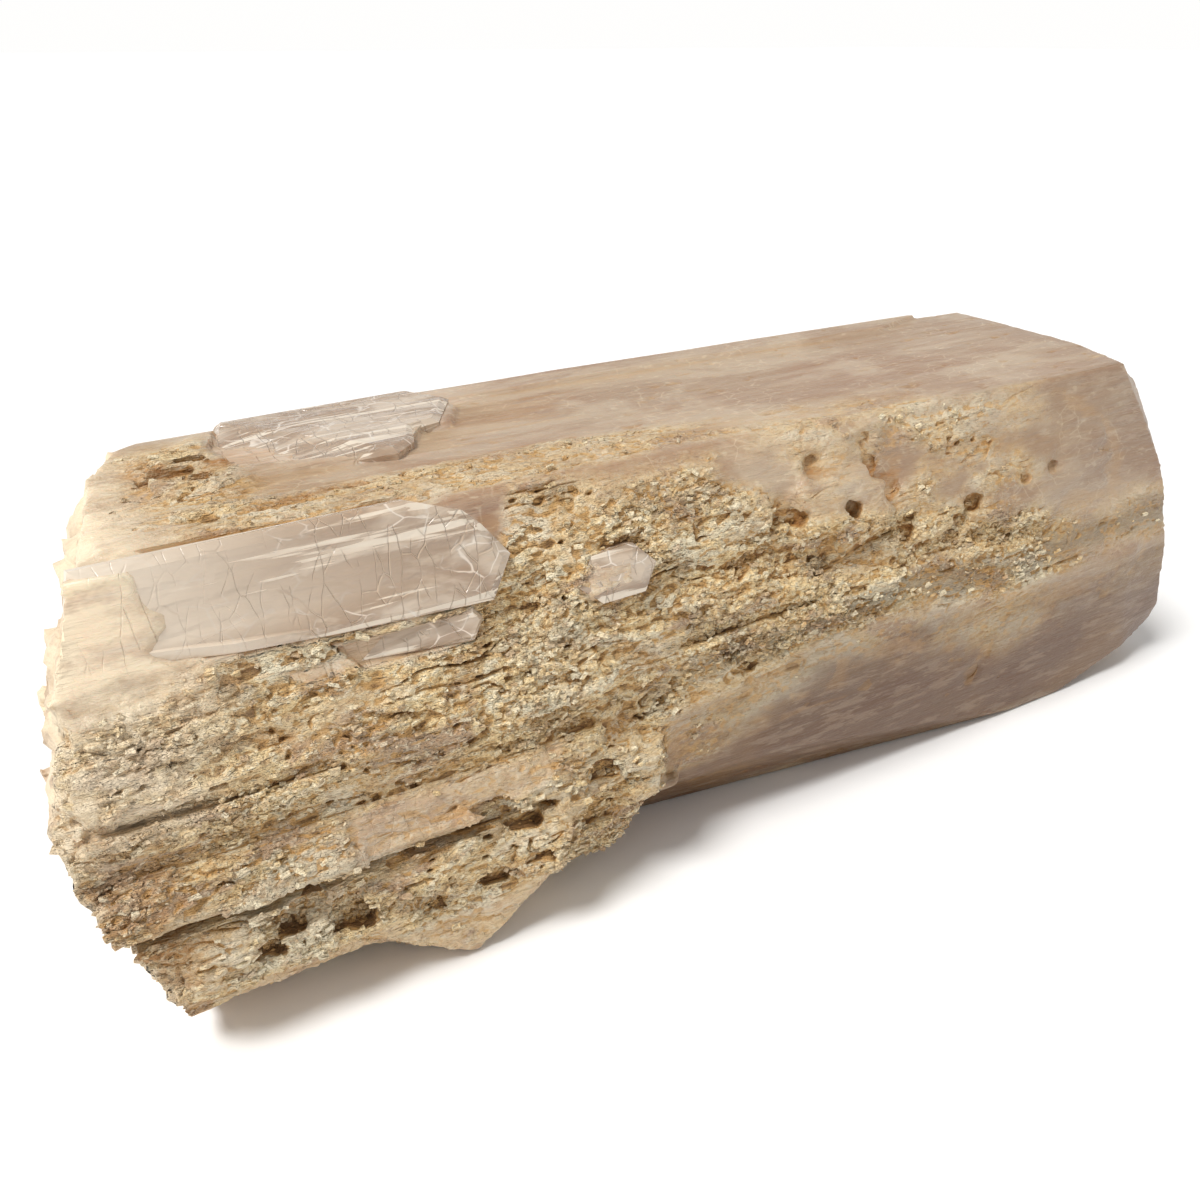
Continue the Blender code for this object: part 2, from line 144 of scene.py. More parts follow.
world = bpy.data.worlds.new("studio")
world.use_nodes = True
sky_nodes, sky_links = world.node_tree.nodes, world.node_tree.links
sky_direction = sky_nodes.new("ShaderNodeTexCoord").outputs["Generated"]
sky_height = sky_nodes.new("ShaderNodeSeparateXYZ")
sky_links.new(sky_direction, sky_height.inputs[0])
sky_fade = sky_nodes.new("ShaderNodeMapRange")
sky_links.new(sky_height.outputs["Z"], sky_fade.inputs["Value"])
for name, number in (("From Min", FADE_FROM), ("From Max", FADE_TO), ("To Min", HORIZON), ("To Max", SKY)):
    sky_fade.inputs[name].default_value = number
sky_links.new(sky_fade.outputs["Result"], sky_nodes["Background"].inputs["Strength"])
sky_nodes["Background"].inputs["Color"].default_value = (1.0, 0.995, 0.985, 1)
bpy.context.scene.world = world
bpy.context.scene.view_settings.view_transform = "Standard"
print("sky strength from", HORIZON, "to", SKY)

# %% One broad lamp from the upper left
LAMP_FROM = Vector((-0.52, -0.10, 0.85))
LAMP_STRENGTH = 2.9
LAMP_WIDTH = math.radians(20)

lamp_data = bpy.data.lights.new("broad_lamp", "SUN")
lamp_data.energy = LAMP_STRENGTH
lamp_data.angle = LAMP_WIDTH
lamp_data.color = (1.0, 0.99, 0.97)
lamp = bpy.data.objects.new("broad_lamp", lamp_data)
bpy.context.scene.collection.objects.link(lamp)
lamp.rotation_euler = LAMP_FROM.to_track_quat("Z", "Y").to_euler()
print("lamp from", [round(v, 2) for v in LAMP_FROM])

# %% [markdown]
# ## The fine skin
# A real crystal this size shows grooves and grains down to a few tenths of a millimetre. A copy of the solid
# is merged, because its triangles are loose, and remeshed into small even cells that can be sculpted by
# moving points. The solid itself stays as it is, underneath.

# %% Copy, merge and remesh
CELL = 0.00031

solid = bpy.data.objects[NODE]
bpy.ops.object.select_all(action="DESELECT")
crystal = solid.copy()
crystal.data = solid.data.copy()
crystal.name = "crystal_skin"
for key in list(crystal.keys()):
    if key.startswith("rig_"):
        del crystal[key]
bpy.context.scene.collection.objects.link(crystal)
crystal.data.materials.clear()
crystal.select_set(True)
bpy.context.view_layer.objects.active = crystal
bpy.ops.object.mode_set(mode="EDIT")
bpy.ops.mesh.select_all(action="SELECT")
bpy.ops.mesh.remove_doubles(threshold=0.000001)
bpy.ops.object.mode_set(mode="OBJECT")
remesh = crystal.modifiers.new("fine_cells", "REMESH")
remesh.mode = "VOXEL"
remesh.voxel_size = CELL
bpy.ops.object.modifier_apply(modifier=remesh.name)
print("fine skin points:", len(crystal.data.vertices))

# %% [markdown]
# ## Helpers for sculpting in code
# Three tools do the sculpting. Smooth steps draw soft-edged zones. Lattice noise gives grain, and it can be
# stretched along the prism, because danburite grows and weathers in lengthwise fibres. The hollow measure
# compares each point with its neighbourhood, so dirt can later settle where the surface is sunk.

# %% Zones and noise
def step(value, start, end):
    """0 before start, 1 after end, smooth between them; start may be above end."""
    t = np.clip((value - start) / (end - start), 0.0, 1.0)
    return t * t * (3 - 2 * t)


def band(value, low, high, soft):
    """1 between low and high, fading to 0 over a soft edge."""
    return step(value, low - soft, low + soft) * step(value, high + soft, high - soft)


def patch(across, up, outline, soft):
    """1 inside a closed outline, fading to 0 over a soft edge; the outline is a list of corners."""
    corners = np.array(outline, float)
    nearest = np.full(len(across), 1e9)
    inside = np.zeros(len(across), bool)
    for (ax, ay), (bx, by) in zip(corners, np.roll(corners, -1, axis=0)):
        dx, dy = bx - ax, by - ay
        t = np.clip(((across - ax) * dx + (up - ay) * dy) / (dx * dx + dy * dy), 0, 1)
        nearest = np.minimum(nearest, np.hypot(across - ax - t * dx, up - ay - t * dy))
        if dy != 0:
            crosses = ((ay > up) != (by > up)) & (across < dx * (up - ay) / dy + ax)
            inside ^= crosses
    return step(np.where(inside, nearest, -nearest), -soft, soft)


def hashed(cells, seed):
    """A repeatable value from 0 to 1 for each whole-numbered cell."""
    mix = cells[..., 0] * 374761393 + cells[..., 1] * 668265263 + cells[..., 2] * 2147483647 + seed * 974711
    mix = (mix ^ (mix >> 13)) * 1274126177
    mix = (mix ^ (mix >> 16)) & 0xFFFFFF
    return mix / float(0xFFFFFF)


def noise(points, size, seed):
    """Smooth noise from -1 to 1 with cells of the given size, one number or one for each axis."""
    scaled = points / np.array(size, float)
    base = np.floor(scaled).astype(np.int64)
    part = scaled - base
    part = part * part * (3 - 2 * part)
    total = np.zeros(len(points))
    for corner in np.ndindex(2, 2, 2):
        pull = np.prod(np.where(np.array(corner) == 1, part, 1 - part), axis=1)
        total += pull * hashed(base + np.array(corner), seed)
    return total * 2 - 1


def layered(points, size, seed, layers=3):
    """Noise with finer and fainter layers on top of each other."""
    size = np.array(size, float)
    total, weight, reach = np.zeros(len(points)), 1.0, 0.0
    for layer in range(layers):
        total += weight * noise(points + 17.3 * layer, size, seed + layer)
        reach += weight
        size, weight = size / 2.1, weight * 0.55
    return total / reach


def cell_noise(points, size, seed):
    """Distance in cells to the nearest and second nearest of scattered centres, and the nearest's number."""
    scaled = points / np.array(size, float)
    base = np.floor(scaled).astype(np.int64)
    first = np.full(len(points), 9.0)
    second = np.full(len(points), 9.0)
    label = np.zeros(len(points))
    for offset in np.ndindex(3, 3, 3):
        cell = base + np.array(offset) - 1
        centre = cell + np.stack([hashed(cell, seed + axis) for axis in range(3)], axis=1)
        gap = np.linalg.norm(scaled - centre, axis=1)
        closer = gap < first
        second = np.where(closer, first, np.minimum(second, gap))
        label = np.where(closer, hashed(cell, seed + 5), label)
        first = np.where(closer, gap, first)
    return first, second, label


def read_points(piece):
    """The points of a mesh, in metres."""
    flat = np.empty(len(piece.data.vertices) * 3, np.float32)
    piece.data.vertices.foreach_get("co", flat)
    return flat.reshape(-1, 3).astype(float)


def write_points(piece, points):
    """Put the points of a mesh back, in metres."""
    piece.data.vertices.foreach_set("co", points.astype(np.float32).ravel())
    piece.data.update()


def read_normals(piece):
    """The outward directions at the points of a mesh."""
    flat = np.empty(len(piece.data.vertices) * 3, np.float32)
    piece.data.vertex_normals.foreach_get("vector", flat)
    return flat.reshape(-1, 3).astype(float)


def neighbour_mean(piece, values, rounds):
    """Values averaged again and again over neighbouring points."""
    pairs = np.empty(len(piece.data.edges) * 2, np.int32)
    piece.data.edges.foreach_get("vertices", pairs)
    first, second = pairs.reshape(-1, 2).T
    count = np.bincount(first, minlength=len(values)) + np.bincount(second, minlength=len(values))
    count = np.maximum(count, 1)
    for _ in range(rounds):
        columns = values.reshape(len(values), -1)
        spread = np.zeros_like(columns)
        for axis in range(columns.shape[1]):
            spread[:, axis] = np.bincount(first, columns[second, axis], minlength=len(values))
            spread[:, axis] += np.bincount(second, columns[first, axis], minlength=len(values))
        values = (spread / count[:, None]).reshape(values.shape)
    return values


def hollow(piece, rounds, depth):
    """How far each point lies below its neighbourhood, from -1 on a crest to 1 in a hollow."""
    places = read_points(piece)
    sunk = ((neighbour_mean(piece, places, rounds) - places) * read_normals(piece)).sum(axis=1)
    return np.clip(sunk / depth, -1, 1)


print("sculpting helpers ready")

# %% [markdown]
# ## Zones of the surface
# The front face is weathered in a broad band that narrows towards the chisel. Above it lie clear blades and a
# smooth pink top, and below it on the right the lower face is smooth, browner and darker, with painted shade
# in its colour. Each zone is a soft mask between 0 and 1, worked out from where a point is and which way its
# surface looks. The blades and plates have outlines, given by their corners in millimetres, read off the
# photograph along the prism and upwards.

# %% Outlines of the clear blades and plates
LONG_BLADE = [(-3.2, 38.9), (20.4, 39.2), (24.9, 37.6), (26.3, 36.3), (28.4, 33.6), (26.4, 30.4), (14, 30.8),
              (6, 31.3), (-4.7, 32.6)]
SHORT_BLADE = [(13, 30.3), (24.6, 30.2), (25.4, 29.2), (24.4, 27.7), (15, 27.9)]
THIN_BLADE = [(9, 29.2), (19.7, 29.3), (20.1, 28.5), (10, 28.0)]
KNOB = [(33.9, 29.6), (36.0, 27.9), (40.2, 28.0), (41.6, 30.2), (39.5, 32.2), (35.4, 31.9)]
GREY_PLATE = [(12, 13.4), (20, 13.0), (28.5, 14.2), (31.5, 17.3), (12, 16.8)]
LOW_LOBE = [(14, 4.8), (21.5, 4.9), (29.5, 6.2), (33.0, 5.0), (29, 0.5), (22, -1.5), (14, 2)]
LOW_STRIP = [(-3, 1), (4, 4.6), (9, 6.6), (15, 6.6), (15, 3.4), (4, -1)]
TOP_LOBE = [(13, 19.6), (25.6, 16.1), (28.0, 18.2), (29.6, 21.6), (32.4, 22.4), (36.5, 28.8), (34.0, 33.4),
            (15, 33.6), (12, 26)]
print("outlines with", [len(outline) for outline in (LONG_BLADE, SHORT_BLADE, TOP_LOBE, KNOB)], "corners")

# %% [markdown]
# ## Masks
# A mask is worked out from a point's place and direction, so it fits any mesh of the crystal, coarse or fine.
# The limits of the weathered band are bent lines along the prism, and slow noise makes every border wander,
# because a straight border would look cut.

# %% Zone masks
ROOF_LINE = ((-8, 12, 27, 30, 46, 52, 58, 66, 76, 85, 94, 105),
             (36, 34, 32, 38.6, 38, 35, 32, 30, 28, 26, 24, 24))
BASE_LINE = ((-8, 38, 43, 52, 61, 71, 86, 98, 109),
             (-3, -1, 14.0, 16.0, 18.6, 18.2, 16.6, 16.2, 17.6))
SEAM_LINE = ((40, 50, 62, 74, 90, 106),
             (17.5, 19.5, 21.0, 20.6, 20.0, 21.0))


def zones(points, normals):
    """Soft masks for the crust, the clear blades, the dark seam and the rest, for points in millimetres."""
    x, y, z = points.T
    front = step(-normals[:, 1], 0.2, 0.55) * step(y, 13.0, 8.0)
    top = step(normals[:, 2], 0.5, 0.8) * step(z, 32.0, 34.5)
    back = step(normals[:, 1], 0.3, 0.6) * step(y, 22.0, 28.0)
    under = step(-normals[:, 2], 0.6, 0.85)
    broken = step(-normals[:, 0], 0.35, 0.7) * step(x, 18.0, 8.0)
    wander = 1.5 * layered(points, (8, 3.5, 3.5), 3, 3)

    # Upper and lower limits of the weathered band on the front, by place along the prism
    roof = np.interp(x, *ROOF_LINE)
    base = np.interp(x, *BASE_LINE)
    crust = front * step(z + wander, base - 1.5, base + 1.5) * step(z + wander, roof + 2.0, roof - 2.0)
    depth = np.interp(x, (43, 67, 79, 93), (8.0, 7.0, 8.5, 9.0))
    fringe = 0.40 * front * step(z + 1.6 * wander, base - depth, base - 0.4 * depth) * step(x, 40.0, 46.0)
    above = 0.55 * front * step(z, roof - 2.0, roof + 1.0)
    above = above * step(layered(points, (6, 3, 3), 53, 3), -0.35, 0.25)
    above = above * step(x, 40.0, 50.0) * step(x, 100.0, 84.0)
    crust = np.maximum(crust, np.maximum(fringe * step(z, base + 3.0, base), above))
    crust *= 1 - 0.6 * step(x + 2 * wander, 84.0, 104.0)

    # Rough strips and patches of the top face
    strip = band(y + 0.7 * wander, 5.2, 12.4, 1.2) * step(x + 2 * wander, 60.0, 46.0)
    corner = step(x + 1.4 * wander, 16.0, 9.0) * band(y + wander, 11.0, 30.0, 3.0)
    speckle = step(y + 2.0 * wander, 12.0, 4.0) * step(x, 50.0, 60.0) * step(x + 2 * wander, 90.0, 74.0)
    crust = np.maximum(crust, top * np.clip(0.6 * strip + 0.8 * corner + 0.5 * speckle, 0, 1))

    # The back has its own weathered band, and the underside stays nearly smooth
    back_band = band(z + 2.0 * wander, 8.0, 27.0, 3.0)
    back_band *= step(layered(points, (22, 7, 7), 31, 3), -0.35, 0.15)
    crust = np.maximum(crust, 0.85 * back * back_band)
    crust = np.maximum(crust, 0.3 * under * step(layered(points, (18, 8, 8), 32, 2), 0.0, 0.5))

    # Clear blades and lobes, and the half-clear knob, plate and low lobe
    jag = 0.25 * layered(points, (1.2, 0.8, 0.8), 33, 2)
    ridge = patch(x + jag, z + jag, LOW_LOBE, 0.7)
    ridge = np.maximum(ridge, patch(x + 2 * jag, z + 2 * jag, LOW_STRIP, 0.8))
    ridge *= step(y, 8.0, 4.0)
    blades = np.maximum(patch(x + jag, z + jag, LONG_BLADE, 0.35), patch(x + jag, z, SHORT_BLADE, 0.3))
    blades = np.maximum(blades, 0.8 * patch(x, z + jag, THIN_BLADE, 0.3)) * front
    lobes = top * patch(x + jag, y + jag, TOP_LOBE, 0.4)
    grey_plate = 0.8 * patch(x + jag, z + jag, GREY_PLATE, 0.5)
    small = front * np.maximum(patch(x + jag, z + jag, KNOB, 0.4), grey_plate)
    fade = step(x + 2.5 * wander, -6.0, 3.0)
    clear = np.clip(np.maximum(blades, lobes) * (0.45 + 0.55 * fade) + 0.75 * small + 0.5 * ridge, 0, 1)
    crust *= (1 - 0.92 * blades * fade - 0.35 * blades * (1 - fade)) * (1 - 0.9 * lobes) * (1 - 0.7 * small)
    crust *= 1 - 0.45 * ridge

    # The upper left end is milky crystal with little crust on it
    milky_end = step(x + 1.5 * wander, 9.0, -1.0) * step(z + wander, 26.0, 31.0) * np.maximum(front, top)
    crust *= 1 - 0.75 * milky_end

    # Some patches of the crust are calm plates of crystal, not crumbs
    calm = step(layered(points + wander[:, None], (11, 3.6, 3.6), 51, 2), 0.02, 0.30)
    crust *= 1 - 0.34 * calm * front - 0.2 * calm * top

    seam_line = np.interp(x, *SEAM_LINE)
    seam = front * step(np.abs(z - seam_line + wander), 2.6, 0.4) * step(x, 40.0, 50.0)
    seam = np.maximum(seam, 0.35 * front * band(z, 11.0, 16.5, 1.5) * step(x, 42.0, 36.0))
    # The low mask marks the lower face, which is browner than the rest and gets painted shade in its colour
    # because it turns down toward the ground; the far part of the front face is darkened a little with the
    # same colour.
    low = front * step(z + wander, base + 2.0, base - 3.0)
    low = np.maximum(low, 0.35 * front * step(x, 55.0, 88.0))
    return dict(front=front, top=top, back=back, under=under, broken=broken, crust=np.clip(crust, 0, 1),
                clear=clear, small=small, seam=seam, low=low)


print("masks ready")

# %% [markdown]
# ## Weather the big shapes
# The solid gives its groove, caves and pits plain steep walls, but on the stone they are shallow and worn.
# Points that lie deep are moved out toward the face, and the hollows are then rounded by averaging
# neighbours, which rubs off sharp edges as wear does. The crust gets a little of it everywhere.

# %% Fill and round the hollows
GROOVE_FILL = 0.85
CAVE_FILL = 0.92
PIT_FILL = 0.75
STAIN_FILL = 0.6
HOLLOW_ROUNDS = 100
CRUST_ROUNDS = 10
UPPER_LEAN = 0.253
LOWER_LEAN = 0.027
CAVES = [(-9, 3), (-9, 16.2), (34, 16.6), (37, 12), (31, 5), (12, 3)]
STAIN = [(2, 13), (18, 11), (19, 30), (5, 33)]


def weather(piece, share, rounds):
    """Round off edges and pits by moving points toward their neighbours' mean, more where share is near 1."""
    places = read_points(piece)
    for _ in range(rounds):
        places += share[:, None] * (neighbour_mean(piece, places, 1) - places)
    write_points(piece, places)


masks = zones(to_crystal(read_points(crystal)), read_normals(crystal))
places = to_crystal(read_points(crystal))
x, y, z = places.T
groove = band(z, 16.4, 20.4, 0.8) * band(x, -9.0, 33.0, 3.0) * (y < 8)
caves = patch(x, z, CAVES, 1.2) * (y < 8)
y -= GROOVE_FILL * groove * np.maximum(y + 0.9, 0)
y -= CAVE_FILL * caves * np.maximum(y + 1.0, 0)
plane = np.where(z > EDGE_RISE, (z - EDGE_RISE) * UPPER_LEAN, (EDGE_RISE - z) * LOWER_LEAN)
right = step(x, 38.0, 48.0) * (y < 9) * band(z, 6.0, 37.0, 1.5)
y -= PIT_FILL * right * np.maximum(y - plane - 0.2, 0)
stain_patch = patch(x, y, STAIN, 1.5) * (z > 30)
z += STAIN_FILL * stain_patch * np.maximum(37.8 - z, 0)
write_points(crystal, (np.stack((x, y, z), axis=1) + ORIGIN) * MM)
sunk = step(hollow(crystal, 14, 0.0004), 0.1, 0.5)
side = np.maximum(np.maximum(masks["front"], masks["back"]), masks["top"] * masks["crust"])
side = side * (1 - masks["clear"])
sunk = np.clip(3.0 * neighbour_mean(crystal, sunk, 6), 0, 1)
weather(crystal, 0.9 * np.clip(sunk * side, 0, 1), HOLLOW_ROUNDS)
weather(crystal, np.clip(0.75 * masks["crust"], 0, 0.9) * (1 - 0.8 * masks["clear"]), CRUST_ROUNDS)
print("share of the skin that was hollow:", round(float(sunk.mean()), 3))

# %% [markdown]
# ## Refine the crust
# The crust needs finer points than the smooth faces do. Its faces are chosen by their mask and subdivided
# once, which keeps the smooth faces light.

# %% Subdivide the crust's faces
ROUGH_ABOVE = 0.2

rough = masks["crust"] > ROUGH_ABOVE
loops = np.empty(len(crystal.data.loops), np.int32)
crystal.data.loops.foreach_get("vertex_index", loops)
starts = np.empty(len(crystal.data.polygons), np.int32)
crystal.data.polygons.foreach_get("loop_start", starts)
chosen = np.logical_and.reduceat(rough[loops], starts)
bpy.ops.object.select_all(action="DESELECT")
crystal.select_set(True)
bpy.context.view_layer.objects.active = crystal
bpy.ops.object.mode_set(mode="EDIT")
bpy.ops.mesh.select_mode(type="FACE")
bpy.ops.mesh.select_all(action="DESELECT")
bpy.ops.object.mode_set(mode="OBJECT")
crystal.data.polygons.foreach_set("select", chosen)
bpy.ops.object.mode_set(mode="EDIT")
bpy.ops.mesh.subdivide(number_cuts=1)
bpy.ops.object.mode_set(mode="OBJECT")
points = to_crystal(read_points(crystal))
masks = zones(points, read_normals(crystal))
print("points after refining:", len(points))
print("share of the skin in each zone:", {name: round(float(mask.mean()), 3) for name, mask in masks.items()})

# %% [markdown]
# ## Sculpt the skin
# Every point moves along its own normal. Lengthwise striations run over all side faces. The crust is built up
# from broken plates at slightly different heights, lengthwise crevices, crumbs and small sharp pits. The
# milky faces get only low swells and shallow scratches, and the break gets shell-shaped steps.

# %% Heights, in millimetres
STRIATION = 0.09
SWELL = 0.16
PLATE = 0.70
CREVICE = 0.50
FIBRE = 0.30
CRUMB = 0.40
PIT = 0.85
UNDER_BLADE = 0.55
FILL = 1.0


def sculpt_height(points, masks):
    """How far each point moves out along its normal, in millimetres."""
    x, y, z = points.T
    crust, clear, broken = masks["crust"], masks["clear"], masks["broken"]
    smooth = (1 - crust) * (1 - broken)
    swirl = layered(points, (4, 2.2, 2.2), 10, 2)[:, None] * np.array((1.8, 0.9, 0.9))

    striation = layered(points, (60.0, 1.1, 1.1), 11, 3)
    height = STRIATION * striation * (0.4 + 0.6 * smooth + 0.5 * clear)
    height += SWELL * layered(points, (18, 8, 8), 12, 2) * smooth

    plate = cell_noise(points + swirl, (5.0, 1.8, 1.8), 13)[2] - 0.5
    small_plate = cell_noise(points + swirl, (1.9, 0.8, 0.8), 14)[2] - 0.5
    height += crust * PLATE * (0.55 * plate + 0.40 * small_plate)
    height += crust * FIBRE * layered(points, (2.0, 0.7, 0.7), 15, 3)

    line = np.abs(layered(points + swirl, (14.0, 1.7, 1.7), 16, 2))
    broken_line = step(layered(points, (6, 3, 3), 17, 2), 0.0, 0.4)
    height -= crust * CREVICE * step(line, 0.07, 0.0) * broken_line

    crumb_zone = step(layered(points, (6, 4, 4), 18, 2), -0.3, 0.15)
    near, _, bulk = cell_noise(points + 0.3 * swirl, (0.72, 0.58, 0.58), 19)
    dome = 0.7 - np.minimum(near, 0.9) * 1.2
    height += crust * CRUMB * (0.25 + 0.75 * crumb_zone) * (0.4 + 0.9 * bulk) * dome

    hole = layered(points + 0.5 * swirl, (1.2, 0.75, 0.75), 20, 2)
    hole_zone = step(layered(points, (8, 5, 5), 21, 2), -0.2, 0.3)
    height -= PIT * step(hole, 0.42, 0.66) * hole_zone * np.clip(crust * 1.4 - 0.3, 0, 1)

    chip = cell_noise(points + swirl, (5.0, 3.6, 3.6), 23)
    height += broken * (0.6 * (chip[2] - 0.5) + 0.3 * layered(points, 1.6, 24, 3))
    height -= 0.45 * masks["seam"] * np.clip(layered(points, (5, 1.2, 1.2), 27, 3) + 0.2, 0, 1)
    height -= UNDER_BLADE * step(clear, 0.86, 0.99) * (1 - masks["small"])
    nick = step(layered(points, (2.6, 0.9, 0.9), 28, 2), 0.5, 0.75)
    height -= 0.22 * nick * smooth * (1 - 0.6 * clear)
    return height * step(z, 0.05, 0.9)


height = sculpt_height(points, masks)
filled = step(hollow(crystal, 40, 0.0010), 0.25, 0.95) * masks["front"] * (1 - masks["clear"])
height += FILL * filled * (0.7 + 0.5 * layered(points, (3, 1.2, 1.2), 52, 2))
points += read_normals(crystal) * height[:, None]
write_points(crystal, (points + ORIGIN) * MM)
print("points moved by", round(float(height.min()), 2), "to", round(float(height.max()), 2), "mm")

# %% [markdown]
# ## Keep the skin inside the solid's box
# The sculpting may push a point past the solid's box. Such points are brought back to four tenths of a
# millimetre outside it at most, and the underside stays flat at zero, where the crystal rests. The skin is
# then thinned, because the refined crust has more triangles than one piece should have.

# %% Limit and thin the skin
SPARE = 0.0004
TRIANGLES = 197000

low, high = np.array(cad_box[0]) - SPARE, np.array(cad_box[1]) + SPARE
low[2] = 0.0
write_points(crystal, np.clip(read_points(crystal), low, high))
bpy.context.view_layer.objects.active = crystal
triangles = sum(len(face.vertices) - 2 for face in crystal.data.polygons)
if triangles > TRIANGLES:
    thin = crystal.modifiers.new("thin", "DECIMATE")
    thin.ratio = TRIANGLES / triangles
    bpy.ops.object.modifier_apply(modifier=thin.name)
print("triangles before and after thinning:", triangles, len(crystal.data.polygons))

# %% [markdown]
# ## What the finish needs to know
# The finish follows the surface: dirt sits in hollows, rust near the break and in the crevices, clear
# crystal on the blades. Each of these is stored on the points as a named value that the shader reads.

# %% Values for the finish
def store(piece, name, values):
    """Keep one number for each point of a piece."""
    layer = piece.data.attributes.new(name, "FLOAT", "POINT")
    layer.data.foreach_set("value", values.astype(np.float32))


points = to_crystal(read_points(crystal))
normals = read_normals(crystal)
wide_normals = neighbour_mean(crystal, normals, 24)
wide_normals /= np.maximum(np.linalg.norm(wide_normals, axis=1), 1e-6)[:, None]
masks = zones(points, wide_normals)
x, y, z = points.T
fine_hollow = hollow(crystal, 3, 0.00011)
wide_hollow = hollow(crystal, 26, 0.0006)

rust_spots = step(layered(points, (6, 3, 3), 41, 3), 0.0, 0.4)
rust_corner = masks["top"] * step(np.hypot((x - 9.5) / 7.5, (y - 20.0) / 8.0), 1.25, 0.2)
rust_trench = masks["top"] * band(y - 0.12 * (x - 20), 10.8, 13.2, 1.0) * band(x, 9.0, 27.0, 4.0)
rust_left = masks["front"] * step(x, 50.0, 6.0) * band(z, 14.0, 31.0, 4.0)
rust_tooth = step(x, 4.0, -3.0) * band(z, 2.0, 17.0, 2.0) * masks["front"]
rust_right = masks["front"] * step(x, 40.0, 52.0) * step(x, 98.0, 88.0) * band(z, 24.0, 35.0, 2.0)
pitted = step(wide_hollow, 0.05, 0.5)
rust = np.clip(masks["crust"] * rust_spots * (0.30 + 0.45 * rust_left) + 0.9 * rust_right * pitted
               + (1.0 * rust_corner + 0.8 * rust_trench) * (0.3 + 0.7 * rust_spots) + 0.7 * rust_tooth, 0, 1)
# The left end and the break are marked pale: partly paler crystal, partly a painted highlight where the lamp
# from the left lights them.
pale_highlight_end = step(x + 2.5 * layered(points, 5, 42, 3), 8.0, -2.0)
pale_and_highlight = np.clip(pale_highlight_end * (masks["front"] * step(z, 16, 24) + masks["top"]) + 0.8 * masks["broken"], 0, 1)
store(crystal, "crust", masks["crust"])
store(crystal, "clear", masks["clear"])
store(crystal, "seam", masks["seam"])
store(crystal, "rust", rust)
store(crystal, "pale_and_highlight", pale_and_highlight)
store(crystal, "low", masks["low"])
store(crystal, "broken", masks["broken"])
store(crystal, "tint", np.full(len(points), 0.5))
store(crystal, "fine_hollow", fine_hollow)
store(crystal, "wide_hollow", wide_hollow)
print("values stored:", [layer.name for layer in crystal.data.attributes if layer.data_type == "FLOAT"])

# %% [markdown]
# ## Crumbs of broken crystal
# The crust is full of loose-looking crumbs, small splinters of the crystal stuck in ochre dust. Each one is a
# crooked block, half sunk in the skin and lying more or less along the prism. They gather where the crust is
# roughest. All of them together are one light mesh.

# %% Crumbs
CRUMBS = 9000
CRUMB_LENGTH = (0.22, 0.85)

rng = np.random.default_rng(SEED)
crumb_zone = step(layered(points, (6, 4, 4), 18, 2), -0.05, 0.4)
chance = np.clip(masks["crust"] - 0.35, 0, 1) * (0.16 + crumb_zone) * (0.35 + 0.65 * masks["front"])
chance *= step(z, 0.8, 1.6) * (1 - masks["clear"])
seeds = rng.choice(len(points), CRUMBS, replace=False, p=chance / chance.sum())
size = CRUMB_LENGTH[0] + (CRUMB_LENGTH[1] - CRUMB_LENGTH[0]) * rng.random(CRUMBS) ** 3.5
corners = np.array([(i, j, k) for i in (-1, 1) for j in (-1, 1) for k in (-1, 1)], float)
sides = np.array([(0, 1, 3, 2), (4, 6, 7, 5), (0, 4, 5, 1), (2, 3, 7, 6), (0, 2, 6, 4), (1, 5, 7, 3)])
shape = corners[None] * (1 + 0.5 * (rng.random((CRUMBS, 8, 3)) - 0.5))
shape *= 0.5 * size[:, None, None] * np.array((1.0, 0.55, 0.42)) * (0.8 + 0.4 * rng.random((CRUMBS, 1, 3)))
turns = rng.normal(0, 1, (CRUMBS, 3)) * np.array((1.2, 0.35, 0.35))
turned = [np.array(Matrix.Rotation(a, 3, "X") @ Matrix.Rotation(b, 3, "Y") @ Matrix.Rotation(c, 3, "Z"))
          for a, b, c in turns]
shape = np.einsum("nij,nkj->nki", np.array(turned), shape)
centres = points[seeds] + normals[seeds] * (0.03 * size)[:, None]
crumb_points = (shape + centres[:, None]).reshape(-1, 3)
crumb_faces = (sides[None] + 8 * np.arange(CRUMBS)[:, None, None]).reshape(-1, 4)
crumb_mesh = bpy.data.meshes.new("crust_crumbs")
crumb_mesh.from_pydata(((crumb_points + ORIGIN) * MM).tolist(), [], crumb_faces.tolist())
crumbs = bpy.data.objects.new("crust_crumbs", crumb_mesh)
bpy.context.scene.collection.objects.link(crumbs)
write_points(crumbs, np.clip(read_points(crumbs), low, high))
tint = np.repeat(rng.random(CRUMBS), 8)
store(crumbs, "crust", np.ones(len(tint)))
store(crumbs, "tint", tint)
store(crumbs, "rust", np.repeat(0.6 * rust[seeds], 8))
store(crumbs, "pale_and_highlight", np.repeat(0.7 * pale_and_highlight[seeds], 8))
store(crumbs, "wide_hollow", np.repeat(np.clip(wide_hollow[seeds], -1, 1) * 0.6, 8))
print("crumb triangles:", 12 * CRUMBS)

# %% [markdown]
# ## Clear blades
# The blades on the front edge, the lobe on the top and the knob are the clearest crystal of the piece. Each
# is a thin slab laid over the skin: one face is cut to the outline, extruded and inset for a bevelled rim.
# The left ends of the blades and the lobe dive into the milky crystal that they grew from.

# %% Slabs of clear crystal
FRONT_UP = Vector((0.0, 0.2454, 0.9694))
FRONT_OUT = Vector((0.0, -0.9694, 0.2454))
RIM_DROP = 0.38
DIVE_LENGTH = 5.0


